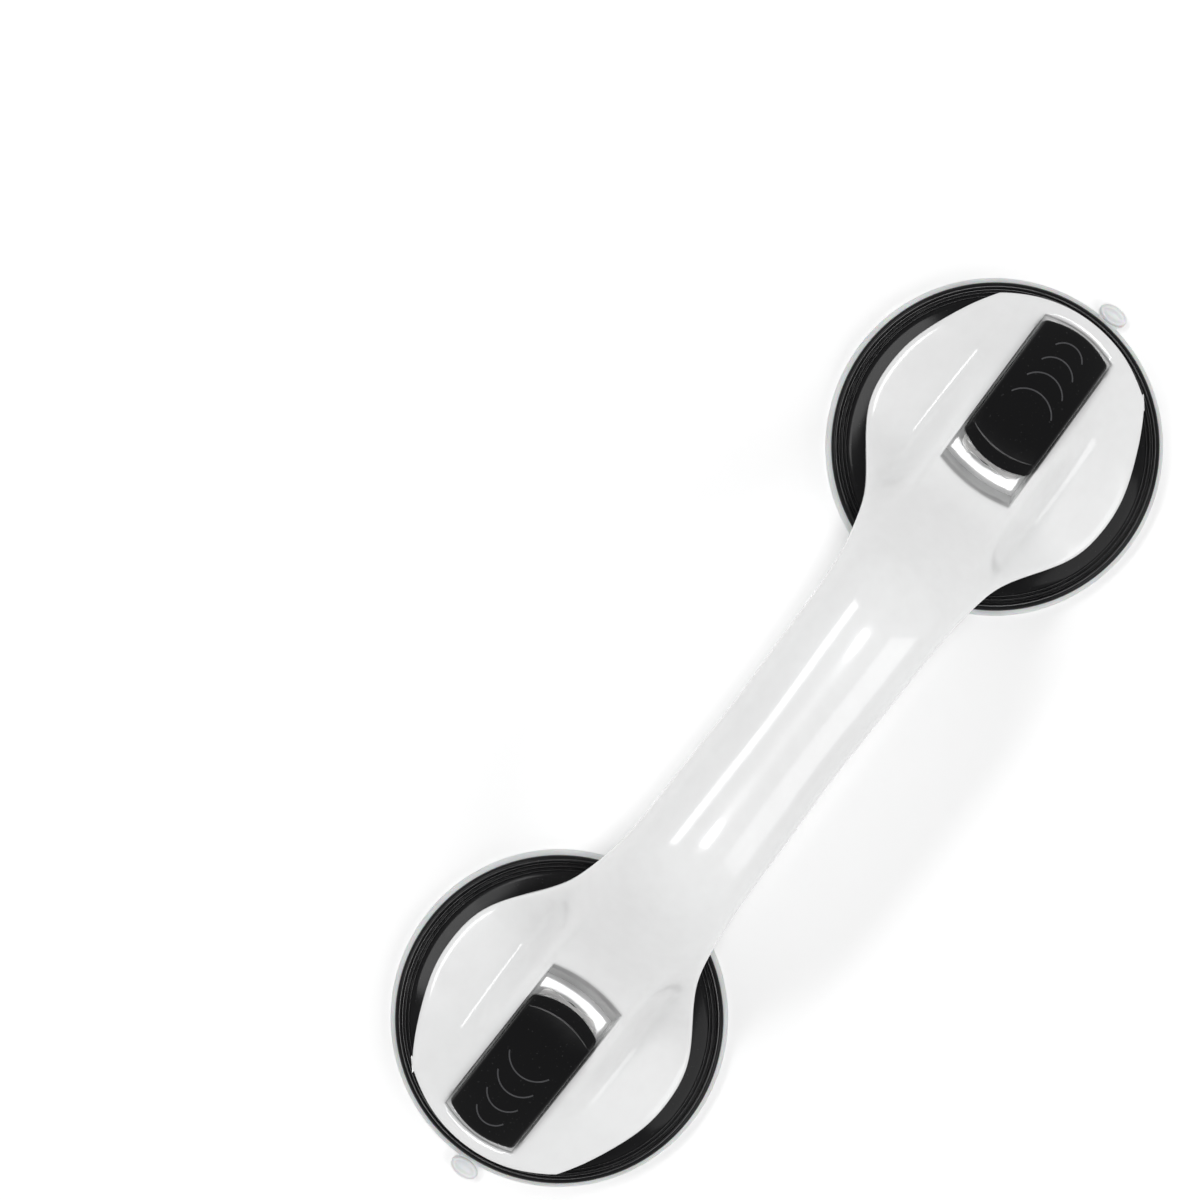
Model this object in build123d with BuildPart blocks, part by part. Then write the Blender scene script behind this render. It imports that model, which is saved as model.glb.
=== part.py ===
from build123d import *
import math
import os

# Suction grab bar: a handle bridge with a suction head at each end, in millimetres.
# X runs along the bar, Z away from the wall, and z = 0 is the wall the pads sit on.
# Every head piece is built at the right head (+X) and mirrored to the left one.

# ---- driving dimensions ----
HEAD_X = 103.8  # cup centre from the middle of the bar
GRIP_RIM_Z = 57.0  # parting line of the grip
GRIP_BELLY_Z = 43.0  # underside of the grip, above the wall
WALL = 2.4  # moulded wall of the handle
SEAM = 0.15  # gap between the shell and its cover
PLATE_R = 44.5  # rounded outer end of the shell's head, about the cup centre

RING_R = 47.4  # housing flange
RING_Z = 2.6  # where the flange sits on the pad
DECK_Z = 11.0  # flat top of the housing
DECK_WALL = 2.2
DECK_R = 24.0
HUB_R = 6.3
HUB_TOP_Z = 13.3
SPRING_WELL_R = 7.6
SPRING_WELL_TOP_Z = 9.9

PAD_R = 48.8
PAD_FLAT_R = 36.0  # inner edge of the ring that touches the wall
PAD_RISE = 4.0  # height of the pad's centre when drawn up
PAD_THICK = 2.2
BOSS_R = 14.0
TAB_Y = -4.3
TAB_X = 50.9  # from the cup centre

STROKE = 4.0  # the stud's travel over the lever's swing
SWING = math.radians(90)
CAM_OPEN = 6.1  # pin to cam plate, lever up
CAM_LOCKED = CAM_OPEN + STROKE
CAM_PLATE_TOP_Z = 14.5
CAM_PLATE_THICK = 1.2
CAM_PLATE_HEEL_X = -6.2
CAM_PLATE_FRONT_X = 8.5
CAM_PLATE_HALF_WIDTH = 9.5
CAM_GAP = 0.08
PIN_Z = CAM_PLATE_TOP_Z + CAM_LOCKED
PIN_R = 1.5

STUD_R = 4.0
STUD_FIT = 0.06
EYE_HALF = 2.9
CORE_R = 11.0
CORE_Z = PAD_RISE + PAD_THICK + 0.1
CORE_THICK = 1.5
CORE_TOP_Z = CORE_Z + CORE_THICK
BUSH_R = 5.2

LEVER_HALF_WIDTH = 11.3
LEVER_TIP_X = 39.3  # from the pin
LEVER_HEEL_X = -6.3
LEVER_TOP_Z = 30.3
LEVER_TIP_TOP_Z = 16.8
LEVER_TIP_FOOT_Z = 12.0
LEVER_CORNER_R = 1.2
LEVER_HEEL_BOW = 3.1  # how far the lever's ends bow out
LEVER_TIP_BOW = 2.7
HEEL_ROUND_R = 5.2
LOBE_INNER = 4.4
LOBE_OUTER = 8.4

FLOOR_Z = HUB_TOP_Z  # pocket floor
FLOOR_TIP_Z = 11.5  # pocket floor at the outer end
FLOOR_WALL = 1.8
FLOOR_BEND_X = 22.0
POCKET_HALF_WIDTH = 11.9
POCKET_FLARE = 0.8  # the pocket's half width grows this much to its mouth
POCKET_HEEL_X = -11.0
POCKET_HEEL_MOUTH_X = -14.2  # half way up to POCKET_TOP_Z
POCKET_TOP_Z = 40.3  # above the shell, so that the pocket is open
POCKET_TIP_X = 40.6
POCKET_HEEL_BOW = 2.2  # how far the pocket's ends bow out
POCKET_TIP_BOW = 2.6

SCREW_R = 1.5
SCREW_HEAD_R = 2.8
DECK_SCREW_PITCH = 15.5  # from the cup centre, along X and Y
COVER_SCREW_X = (-40.0, -13.0, 13.0, 40.0)

# Handle stations: x, half width, height of the rim, height of the crown.
STATIONS = [
    (0.0, 17.4, 57.0, 72.0),
    (24.0, 17.9, 57.0, 71.9),
    (41.0, 18.2, 56.2, 70.6),
    (53.0, 19.2, 51.5, 66.0),
    (62.0, 20.9, 43.0, 58.5),
    (69.0, 23.1, 33.5, 50.5),
    (76.0, 27.1, 22.8, 42.8),
    (83.0, 32.0, 15.2, 36.6),
    (91.0, 36.6, 11.6, 32.2),
    (102.0, 38.8, 10.5, 28.9),
    (113.0, 37.9, 10.2, 25.0),
    (124.0, 34.2, 9.8, 20.8),
    (135.0, 28.8, 9.2, 16.6),
    (142.5, 23.8, 8.8, 13.9),
    (152.0, 16.6, 8.4, 12.4),
]
# Cover stations: x, height of the belly.
BELLIES = [
    (0.0, 43.0),
    (24.0, 43.0),
    (41.0, 42.0),
    (53.0, 37.6),
    (62.0, 30.4),
    (69.0, 22.6),
    (76.0, 15.6),
    (80.0, 12.9),
]
# Where a section's crown is shaped, as shares of its half width.
SHARES = (1.0, 0.98, 0.93, 0.8, 0.66, 0.54, 0.44, 0.34, 0.2, 0.0)
RIDGE_IN = 12.5  # the ridge's shoulder starts here and ends at RIDGE_OUT
RIDGE_OUT = 22.0
PLATE_FROM_X = 54.0  # the grip's oval section turns into the head's plate between these
PLATE_FULL_X = 92.0
PLATE_RISE = 4.6  # how far the plate swells from its edge to the ridge
EDGE_GRIP = 0.8  # upright edge above the rim, on the grip and on the plate
EDGE_PLATE = 2.6

HEAD_XZ = Plane(origin=(HEAD_X, 0, 0), x_dir=(1, 0, 0), z_dir=(0, -1, 0))
HEAD_AXIS = Axis((HEAD_X, 0, 0), (0, 0, 1))


def head_plane(z):
    return Plane(origin=(HEAD_X, 0, z), x_dir=(1, 0, 0), z_dir=(0, 0, 1))


def ease(value, start, end):
    """0 before start, 1 after end, smooth between."""
    t = min(max((value - start) / (end - start), 0.0), 1.0)
    return t * t * (3 - 2 * t)


def crown_height(x, half, rim, crown, share):
    """Height of the top at a share of the half width: oval on the grip, a ridged plate on the head."""
    plate = ease(abs(x), PLATE_FROM_X, PLATE_FULL_X)
    edge = EDGE_GRIP + (EDGE_PLATE - EDGE_GRIP) * plate
    depth = crown - rim - edge
    swell = min(PLATE_RISE, depth * 0.5)
    oval = depth * math.sqrt(1 - share**2)
    ridge = (depth - swell) * (1 - ease(share * half, RIDGE_IN, RIDGE_OUT))
    return rim + edge + (1 - plate) * oval + plate * (swell * (1 - share**2) + ridge)


def crown_section(x, half, rim, crown, drop=0.0, inset=0.0):
    """One closed section of the handle's shell, lowered by drop and narrowed by inset for its cavity."""
    foot = rim - 4 if drop else rim  # the cavity runs out below the rim
    right = [(share * (half - inset), crown_height(x, half, rim, crown, share) - drop) for share in SHARES]
    left = [(-y, z) for y, z in reversed(right[:-1])]
    with BuildSketch(Plane(origin=(x, 0, 0), x_dir=(0, 1, 0), z_dir=(1, 0, 0))) as section:
        with BuildLine():
            Spline(*(right + left))
            Polyline(left[-1], (-(half - inset), foot), (half - inset, foot), right[0])
        make_face()
    return section.sketch


def mirrored(stations):
    """The stations of both halves of the bar, from -X to +X."""
    left = [(-row[0],) + tuple(row[1:]) for row in reversed(stations[1:])]
    return left + stations


def trim_heads(radius):
    """Keeps what lies between the head centres or within the radius of one of them."""
    with BuildPart() as trim:
        Box(2 * HEAD_X, 4 * PLATE_R, 4 * PLATE_R)
        with Locations((HEAD_X, 0, 0), (-HEAD_X, 0, 0)):
            Cylinder(radius, 4 * PLATE_R)
    return trim.part


def handle_body(drop, inset, radius):
    """The handle's solid form, or its cavity when drop and inset are given."""
    with BuildPart() as body:
        for row in mirrored(STATIONS):
            add(crown_section(*row, drop=drop, inset=inset))
        loft()
        add(trim_heads(radius), mode=Mode.INTERSECT)
    return body.part


def pocket_outline(heel_x, grow):
    """The pocket's plan at the head: straight sides between two bowed ends."""
    half = POCKET_HALF_WIDTH + grow
    tip_x = POCKET_TIP_X + grow
    heel_corner_x = heel_x + POCKET_HEEL_BOW
    tip_corner_x = tip_x - POCKET_TIP_BOW
    with BuildSketch(mode=Mode.PRIVATE) as outline:
        with BuildLine():
            ThreePointArc((heel_corner_x, half), (heel_x, 0), (heel_corner_x, -half))
            Line((heel_corner_x, -half), (tip_corner_x, -half))
            ThreePointArc((tip_corner_x, -half), (tip_x, 0), (tip_corner_x, half))
            Line((tip_corner_x, half), (heel_corner_x, half))
        make_face()
    return outline.sketch


def pocket_form(grow, floor_drop):
    """The lever pocket, or the tub around it when grown, with a floor that falls towards the tip."""
    fall = (FLOOR_Z - FLOOR_TIP_Z) / (POCKET_TIP_X - FLOOR_BEND_X)
    flat_z = FLOOR_Z - floor_drop
    far_z = flat_z - fall * (60 - FLOOR_BEND_X)
    with BuildPart() as form:
        with BuildSketch(head_plane(FLOOR_TIP_Z - floor_drop)):
            add(pocket_outline(POCKET_HEEL_X - grow, grow))
        with BuildSketch(head_plane(POCKET_TOP_Z)):
            add(pocket_outline(2 * POCKET_HEEL_MOUTH_X - POCKET_HEEL_X - grow, grow + POCKET_FLARE))
        loft()
        with BuildSketch(HEAD_XZ):
            with BuildLine():
                Polyline((-60, flat_z), (FLOOR_BEND_X, flat_z), (60, far_z), (60, 60), (-60, 60), close=True)
            make_face()
        extrude(amount=40, both=True, mode=Mode.INTERSECT)
    return form.part


def shell_supports(body):
    """The pocket's tub and the screw bosses of the right head and the grip, inside the handle's form."""
    with BuildPart() as supports:
        add(pocket_form(WALL, FLOOR_WALL))
        with BuildSketch(head_plane(DECK_Z)):
            with GridLocations(2 * DECK_SCREW_PITCH, 2 * DECK_SCREW_PITCH, 2, 2):
                Circle(3.4)
        extrude(amount=30)
        with BuildSketch(Plane.XY.offset(GRIP_RIM_Z)):
            with Locations(*[(x, 0) for x in COVER_SCREW_X if x > 0]):
                Circle(4.2)
        extrude(amount=14)
        mirror(about=Plane.YZ)
        add(body, mode=Mode.INTERSECT)
    return supports.part


def shell_cuts():
    """What is cut from both heads and the grip: lever pockets, hub openings and screw holes."""
    with BuildPart() as cuts:
        add(pocket_form(0.0, 0.0))
        with BuildSketch(head_plane(DECK_Z - 1)):
            Circle(HUB_R + 0.15)
            with GridLocations(2 * DECK_SCREW_PITCH, 2 * DECK_SCREW_PITCH, 2, 2):
                Circle(SCREW_R)
        extrude(amount=7)
        with BuildSketch(Plane.XY.offset(GRIP_RIM_Z - 2)):
            with Locations(*[(x, 0) for x in COVER_SCREW_X if x > 0]):
                Circle(SCREW_R)
        extrude(amount=10)
        mirror(about=Plane.YZ)
    return cuts.part


def make_handle_shell():
    """One-piece top shell: grip, necks and both heads with their lever pockets."""
    body = handle_body(0.0, 0.0, PLATE_R)
    with BuildPart() as handle_shell:
        add(body)
        add(handle_body(WALL + 0.4, WALL, PLATE_R - WALL), mode=Mode.SUBTRACT)
        add(shell_supports(body))
        add(shell_cuts(), mode=Mode.SUBTRACT)
    return handle_shell.part


def belly_section(x, half, rim, belly, inset=0.0):
    """One closed section of the grip's cover: a half oval under the parting line."""
    top = rim - SEAM + (2 * inset)
    depth = rim - SEAM - belly - inset
    turns = [math.radians(angle) for angle in (0, 12, 30, 50, 70, 90, 110, 130, 150, 168, 180)]
    points = [((half - inset) * math.cos(turn), rim - SEAM - depth * math.sin(turn)) for turn in turns]
    with BuildSketch(Plane(origin=(x, 0, 0), x_dir=(0, 1, 0), z_dir=(1, 0, 0))) as section:
        with BuildLine():
            Spline(*points)
            Polyline(points[-1], (-(half - inset), top + 0.01), (half - inset, top + 0.01), points[0])
        make_face()
    return section.sketch


def belly_rows(end_x):
    """Cover stations up to end_x, with the width and rim read off the handle's own stations."""
    rows = []
    for x, belly in BELLIES:
        x = min(x, end_x)
        after = next(i for i in range(1, len(STATIONS)) if STATIONS[i][0] >= x)
        x0, half0, rim0, _ = STATIONS[after - 1]
        x1, half1, rim1, _ = STATIONS[after]
        share = (x - x0) / (x1 - x0)
        rows.append((x, half0 + (half1 - half0) * share, rim0 + (rim1 - rim0) * share, belly))
    return mirrored(rows)


def cover_form(end_x, inset):
    """The cover's solid form, or its hollow when inset is given."""
    with BuildPart() as form:
        for row in belly_rows(end_x):
            add(belly_section(*row, inset=inset))
        loft()
    return form.part


def make_grip_cover():
    """Underside of the grip, screwed to the shell from below."""
    form = cover_form(BELLIES[-1][0], 0.0)
    with BuildPart() as posts:
        with BuildSketch(Plane.XY.offset(GRIP_BELLY_Z - 2)):
            with Locations(*[(x, 0) for x in COVER_SCREW_X]):
                Circle(4.6)
        extrude(amount=GRIP_RIM_Z - GRIP_BELLY_Z + 1)
        add(form, mode=Mode.INTERSECT)
    with BuildPart() as grip_cover:
        add(form)
        add(cover_form(BELLIES[-1][0] - WALL, WALL), mode=Mode.SUBTRACT)
        add(posts.part)
        with BuildSketch(Plane.XY.offset(GRIP_BELLY_Z - 2)):
            with Locations(*[(x, 0) for x in COVER_SCREW_X]):
                Circle(SCREW_R)
        extrude(amount=20, mode=Mode.SUBTRACT)
        with BuildSketch(Plane.XY.offset(GRIP_BELLY_Z - 2)):
            with Locations(*[(x, 0) for x in COVER_SCREW_X]):
                Circle(SCREW_HEAD_R + 0.3)
        extrude(amount=6, mode=Mode.SUBTRACT)
    return grip_cover.part


def make_screw(head_z, length):
    """A pan-head screw pointing up, with a cross recess in its head."""
    with BuildPart() as screw:
        with BuildSketch(Plane.XY.offset(head_z - 1.6)):
            Circle(SCREW_HEAD_R)
        extrude(amount=1.6)
        chamfer(screw.edges().sort_by(Axis.Z)[0], 0.5)
        with BuildSketch(Plane.XY.offset(head_z)):
            Circle(SCREW_R)
        extrude(amount=length)
        chamfer(screw.edges().sort_by(Axis.Z)[-1], 0.6)
        with BuildSketch(Plane.XY.offset(head_z - 1.6)):
            Rectangle(3.2, 0.8)
            Rectangle(0.8, 3.2)
        extrude(amount=0.9, mode=Mode.SUBTRACT)
    return screw.part


def make_cover_screws():
    """Four screws that hold the cover to the grip."""
    screw = make_screw(GRIP_BELLY_Z + 4, 17)
    with BuildPart() as cover_screws:
        with Locations(*[(x, 0) for x in COVER_SCREW_X]):
            add(screw)
    return cover_screws.part


def make_suction_housing():
    """Black bowl between pad and shell: ridged flange, domed skirt, flat deck and a hub for the stud."""
    with BuildPart() as suction_housing:
        with BuildSketch(HEAD_XZ):
            with BuildLine():
                Polyline((BUSH_R, HUB_TOP_Z), (HUB_R, HUB_TOP_Z), (HUB_R, DECK_Z), (DECK_R, DECK_Z))
                Spline((DECK_R, DECK_Z), (38.0, 8.9), (43.4, 7.5), tangents=[(1, 0), (0.95, -0.32)])
                Polyline((43.4, 7.5), (43.8, 7.0), (44.2, 7.4), (44.9, 7.2), (45.3, 6.2))
                flange = [(45.3, 6.2), (46.6, 6.0), (RING_R, 4.6), (46.9, RING_Z)]
                Spline(*flange, tangents=[(0.8, 0.6), (-0.6, -0.8)])
                Polyline((46.9, RING_Z), (43.0, RING_Z), (43.0, 4.4))
                underside = [(43.0, 4.4), (37.0, 6.6), (DECK_R, DECK_Z - DECK_WALL)]
                Spline(*underside, tangents=[(-0.85, 0.5), (-1, 0)])
                Polyline(
                    (DECK_R, DECK_Z - DECK_WALL),
                    (SPRING_WELL_R, DECK_Z - DECK_WALL),
                    (SPRING_WELL_R, SPRING_WELL_TOP_Z),
                    (BUSH_R, SPRING_WELL_TOP_Z),
                    (BUSH_R, HUB_TOP_Z),
                )
            make_face()
        revolve(axis=HEAD_AXIS)
        with BuildSketch(head_plane(DECK_Z - DECK_WALL - 1)):
            with GridLocations(2 * DECK_SCREW_PITCH, 2 * DECK_SCREW_PITCH, 2, 2):
                Circle(SCREW_R)
        extrude(amount=5, mode=Mode.SUBTRACT)
    return suction_housing.part


def make_housing_screws():
    """Four screws that hold the housing to the shell, driven from inside the cup."""
    screw = make_screw(DECK_Z - DECK_WALL, 8)
    with BuildPart() as housing_screws:
        with Locations(head_plane(0)):
            with GridLocations(2 * DECK_SCREW_PITCH, 2 * DECK_SCREW_PITCH, 2, 2):
                add(screw)
    return housing_screws.part


def make_suction_pad():
    """Soft cup, drawn up at its centre, with a raised boss for the core and a release tab on its rim."""
    with BuildPart() as suction_pad:
        with BuildSketch(HEAD_XZ):
            with BuildLine():
                Polyline(
                    (0, PAD_RISE),
                    (0, CORE_Z - 0.1),
                    (CORE_R + 0.1, CORE_Z - 0.1),
                    (CORE_R + 0.1, CORE_TOP_Z),
                    (BOSS_R, CORE_TOP_Z - 0.5),
                    (BOSS_R + 1.2, CORE_Z - 0.8),
                )
                Spline((BOSS_R + 1.2, CORE_Z - 0.8), (28.0, 3.85), (41.5, 2.2))
                Polyline((41.5, 2.2), (47.2, 2.4), (48.2, 1.9), (PAD_R, 1.1), (PAD_R, 0.5), (48.2, 0))
                Line((48.2, 0), (PAD_FLAT_R, 0))
                Spline((PAD_FLAT_R, 0), (19.0, 2.95), (0, PAD_RISE))
            make_face()
        revolve(axis=HEAD_AXIS)
        with BuildSketch(head_plane(0.5)):
            with Locations((47.5, TAB_Y)):
                Rectangle(6, 6.4)
        extrude(amount=1.4)
        with BuildSketch(head_plane(0.3)):
            with Locations((TAB_X, TAB_Y)):
                Ellipse(2.6, 4.4)
        extrude(amount=2.6)
    return suction_pad.part


def make_pad_core():
    """Stiff disc moulded on the stud's foot, which lifts the pad's centre."""
    with BuildPart() as pad_core:
        with BuildSketch(head_plane(CORE_Z)):
            Circle(CORE_R)
            Circle(STUD_R + 2, mode=Mode.SUBTRACT)
        extrude(amount=CORE_THICK)
        with BuildSketch(head_plane(CORE_Z + 0.7)):
            Circle(STUD_R + 2)
            Circle(STUD_R, mode=Mode.SUBTRACT)
        extrude(amount=CORE_THICK - 0.7)
    return pad_core.part


def make_draw_stud():
    """Round stud with a foot at the pad and a flat eye for the lever's pin."""
    with BuildPart() as draw_stud:
        with BuildSketch(head_plane(CORE_Z)):
            Circle(STUD_R + 2)
        extrude(amount=0.7)
        with BuildSketch(head_plane(CORE_Z)):
            Circle(STUD_R)
        extrude(amount=PIN_Z + EYE_HALF - CORE_Z)
        with BuildSketch(HEAD_XZ) as side:
            with Locations((0, PIN_Z)):
                Circle(EYE_HALF)
            with Locations((0, (CAM_PLATE_TOP_Z + 2 + PIN_Z) / 2)):
                Rectangle(2 * EYE_HALF, PIN_Z - CAM_PLATE_TOP_Z - 2)
            with Locations((0, (CAM_PLATE_TOP_Z + 2) / 2)):
                Rectangle(4 * STUD_R, CAM_PLATE_TOP_Z + 2)
        extrude(amount=2 * STUD_R, both=True, mode=Mode.INTERSECT)
        with BuildSketch(HEAD_XZ):
            with Locations((0, PIN_Z)):
                Circle(PIN_R)
        extrude(amount=2 * STUD_R, both=True, mode=Mode.SUBTRACT)
    return draw_stud.part


def make_lever_pin():
    """Steel pin through the stud's eye and both sides of the lever."""
    with BuildPart() as lever_pin:
        with BuildSketch(HEAD_XZ):
            with Locations((0, PIN_Z)):
                Circle(PIN_R)
        extrude(amount=LEVER_HALF_WIDTH - 1, both=True)
        chamfer(lever_pin.edges().filter_by(GeomType.CIRCLE), 0.3)
    return lever_pin.part


def make_guide_bush():
    """Bush in the housing's hub that the stud slides in."""
    with BuildPart() as guide_bush:
        with BuildSketch(head_plane(SPRING_WELL_TOP_Z - 1.2)):
            Circle(BUSH_R)
            Circle(STUD_R + STUD_FIT, mode=Mode.SUBTRACT)
        extrude(amount=HUB_TOP_Z - SPRING_WELL_TOP_Z + 1.2)
    return guide_bush.part


def make_cam_plate():
    """Wear plate on the hub that the lever's lobes roll on."""
    with BuildPart() as cam_plate:
        with BuildSketch(head_plane(HUB_TOP_Z)):
            with Locations(((CAM_PLATE_HEEL_X + CAM_PLATE_FRONT_X) / 2, 0)):
                RectangleRounded(CAM_PLATE_FRONT_X - CAM_PLATE_HEEL_X, 2 * CAM_PLATE_HALF_WIDTH, 2.5)
            Circle(STUD_R + 0.7, mode=Mode.SUBTRACT)
        extrude(amount=CAM_PLATE_THICK)
    return cam_plate.part


def make_return_spring():
    """Coil that pushes the pad's core away from the housing when the lever is opened."""
    wire = 0.3  # radius
    coil_r = 6.7
    low = CORE_TOP_Z + wire + 0.05
    high = SPRING_WELL_TOP_Z - wire - 0.05
    turns = 2
    with BuildPart() as return_spring:
        with BuildLine(Plane(origin=(HEAD_X, 0, low), x_dir=(1, 0, 0), z_dir=(0, 0, 1))) as path:
            Helix((high - low) / turns, high - low, coil_r)
        with BuildSketch(Plane(origin=path.line @ 0, z_dir=path.line % 0)):
            Circle(wire)
        sweep(path=path.line, is_frenet=True)
    return return_spring.part


def cam_point(angle):
    """A point of the lobe: the involute whose reach falls evenly as the lever turns."""
    turn = math.radians(angle)
    rate = STROKE / SWING
    reach = CAM_LOCKED - CAM_GAP - rate * turn
    return (
        -reach * math.sin(turn) + rate * math.cos(turn),
        PIN_Z - reach * math.cos(turn) - rate * math.sin(turn),
    )


def lever_plan():
    """The lever from above: straight sides between two bowed ends."""
    half = LEVER_HALF_WIDTH
    heel_corner_x = LEVER_HEEL_X + LEVER_HEEL_BOW
    tip_corner_x = LEVER_TIP_X - LEVER_TIP_BOW
    with BuildSketch(mode=Mode.PRIVATE) as plan:
        with BuildLine():
            ThreePointArc((heel_corner_x, half), (LEVER_HEEL_X, 0), (heel_corner_x, -half))
            Line((heel_corner_x, -half), (tip_corner_x, -half))
            ThreePointArc((tip_corner_x, -half), (LEVER_TIP_X, 0), (tip_corner_x, half))
            Line((tip_corner_x, half), (heel_corner_x, half))
        make_face()
        fillet(plan.vertices(), LEVER_CORNER_R)
    return plan.sketch


def lever_side():
    """The lever from its side: rounded heel about the pin, a bowed top and a flat foot near the tip."""
    clear_r = CAM_OPEN - 0.5  # inside this radius nothing meets the cam plate as the lever turns
    heel_z = LEVER_TOP_Z - HEEL_ROUND_R
    with BuildSketch(mode=Mode.PRIVATE) as side:
        with BuildLine():
            ThreePointArc(
                (0.6, LEVER_TOP_Z),
                (LEVER_HEEL_X + HEEL_ROUND_R * 0.32, LEVER_TOP_Z - HEEL_ROUND_R * 0.27),
                (LEVER_HEEL_X, heel_z),
            )
            Line((LEVER_HEEL_X, heel_z), (LEVER_HEEL_X, PIN_Z))
            Line((LEVER_HEEL_X, PIN_Z), (-clear_r, PIN_Z))
            CenterArc((0, PIN_Z), clear_r, 180, 90)
            Polyline(
                (0, PIN_Z - clear_r),
                (6, PIN_Z - clear_r - 1.5),
                (13, LEVER_TIP_FOOT_Z + 3.2),
                (LEVER_TIP_X, LEVER_TIP_FOOT_Z),
                (LEVER_TIP_X, LEVER_TIP_TOP_Z),
            )
            ThreePointArc((LEVER_TIP_X, LEVER_TIP_TOP_Z), (20, 24.6), (0.6, LEVER_TOP_Z))
        make_face()
    return side.sketch


def make_cam_lever():
    """Flip lever: hollow paddle with two cam lobes, a slot for the stud and a bore for the pin."""
    front_x = 5.2  # the lobes' tip side
    top_z = PIN_Z + 1
    first, last = cam_point(0), cam_point(90)
    hollow_end_x = LEVER_TIP_X - 3.2
    rib_end_x = LEVER_TIP_X - 3
    with BuildPart() as cam_lever:
        with BuildSketch(head_plane(0)):
            add(lever_plan())
        extrude(amount=40)
        with BuildSketch(HEAD_XZ):
            add(lever_side())
        extrude(amount=20, both=True, mode=Mode.INTERSECT)
        with BuildSketch(HEAD_XZ):
            with BuildLine():
                hollow_tip = (hollow_end_x, LEVER_TIP_TOP_Z - 1)
                Polyline((10, 0), (hollow_end_x, 0), hollow_tip, (20, 21.9), (10, 24.9), close=True)
            make_face()
        extrude(amount=LEVER_HALF_WIDTH - 2, both=True, mode=Mode.SUBTRACT)
        with BuildSketch(HEAD_XZ):
            with BuildLine():
                Polyline((10, 18), (rib_end_x, 14), (rib_end_x, 17), (20, 23), (10, 26), close=True)
            make_face()
        extrude(amount=0.8, both=True)
        with BuildSketch(HEAD_XZ) as lobe:
            with BuildLine():
                Spline(*[cam_point(angle) for angle in range(0, 91, 15)])
                Polyline(last, (last[0], top_z), (front_x, top_z), (front_x, first[1]), first)
            make_face()
        extrude(amount=LOBE_OUTER, both=True)
        with BuildSketch(HEAD_XZ):
            with Locations(((STUD_R + 0.5 - 20) / 2, (PIN_Z + EYE_HALF + 0.4) / 2)):
                Rectangle(20 + STUD_R + 0.5, PIN_Z + EYE_HALF + 0.4)
        extrude(amount=LOBE_INNER, both=True, mode=Mode.SUBTRACT)
        with BuildSketch(HEAD_XZ):
            with Locations((0, PIN_Z)):
                Circle(PIN_R + 0.05)
        extrude(amount=LEVER_HALF_WIDTH - 0.95, both=True, mode=Mode.SUBTRACT)
    return cam_lever.part


def write_piece(name, piece):
    """Labels one finished piece and writes its STEP file."""
    piece.label = name
    export_step(piece, f"parts/{name}.step")


def write_pair(name, right_piece):
    """Writes a right-head piece and its mirror image at the left head."""
    write_piece(f"{name}_right", right_piece)
    with BuildPart() as left:
        mirror(right_piece, about=Plane.YZ)
    write_piece(f"{name}_left", left.part)


os.makedirs("parts", exist_ok=True)
write_piece("handle_shell", make_handle_shell())
write_piece("grip_cover", make_grip_cover())
write_piece("cover_screws", make_cover_screws())
write_pair("suction_housing", make_suction_housing())
write_pair("housing_screws", make_housing_screws())
write_pair("suction_pad", make_suction_pad())
write_pair("pad_core", make_pad_core())
write_pair("draw_stud", make_draw_stud())
write_pair("lever_pin", make_lever_pin())
write_pair("guide_bush", make_guide_bush())
write_pair("cam_plate", make_cam_plate())
write_pair("return_spring", make_return_spring())
write_pair("cam_lever", make_cam_lever())
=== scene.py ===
import math
import bmesh
import bpy
import numpy as np
from mathutils import Matrix, Vector


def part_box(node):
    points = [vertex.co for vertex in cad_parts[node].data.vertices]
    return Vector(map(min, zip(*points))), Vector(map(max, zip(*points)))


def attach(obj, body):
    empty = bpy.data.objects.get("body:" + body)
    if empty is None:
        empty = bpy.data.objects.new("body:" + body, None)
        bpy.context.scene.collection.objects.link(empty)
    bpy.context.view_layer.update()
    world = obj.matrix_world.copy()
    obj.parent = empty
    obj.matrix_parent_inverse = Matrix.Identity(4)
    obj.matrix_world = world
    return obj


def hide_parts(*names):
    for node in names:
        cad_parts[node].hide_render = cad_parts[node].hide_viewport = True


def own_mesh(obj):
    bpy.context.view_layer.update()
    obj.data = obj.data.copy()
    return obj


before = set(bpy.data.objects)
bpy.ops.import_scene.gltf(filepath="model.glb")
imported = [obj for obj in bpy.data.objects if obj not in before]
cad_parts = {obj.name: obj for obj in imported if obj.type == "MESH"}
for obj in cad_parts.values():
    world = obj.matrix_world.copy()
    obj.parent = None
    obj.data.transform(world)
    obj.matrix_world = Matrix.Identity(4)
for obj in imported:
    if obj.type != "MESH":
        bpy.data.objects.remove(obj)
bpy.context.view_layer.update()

# Suction grab bar: finished meshes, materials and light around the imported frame.
# Shapes are worked out in millimetres and scaled once, where a mesh is made.

MM = 0.001
SIDES = {"right": 1, "left": -1}


# ---- places read from the frame ----
def node_box(name):
    """A CAD node's lowest and highest corner, in millimetres."""
    return [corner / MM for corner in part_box(name)]


housing_low, housing_high = node_box("suction_housing_right")
HEAD_X = (housing_low.x + housing_high.x) / 2
HUB_TOP_Z = housing_high.z
pin_low, pin_high = node_box("lever_pin_right")
PIN_Z = (pin_low.z + pin_high.z) / 2
CAM_PLATE_TOP_Z = node_box("cam_plate_right")[1].z
COVER_END_X = node_box("grip_cover")[1].x
LEVER_TIP_X = node_box("cam_lever_right")[1].x - HEAD_X
LEVER_HALF_WIDTH = node_box("cam_lever_right")[1].y


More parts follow.
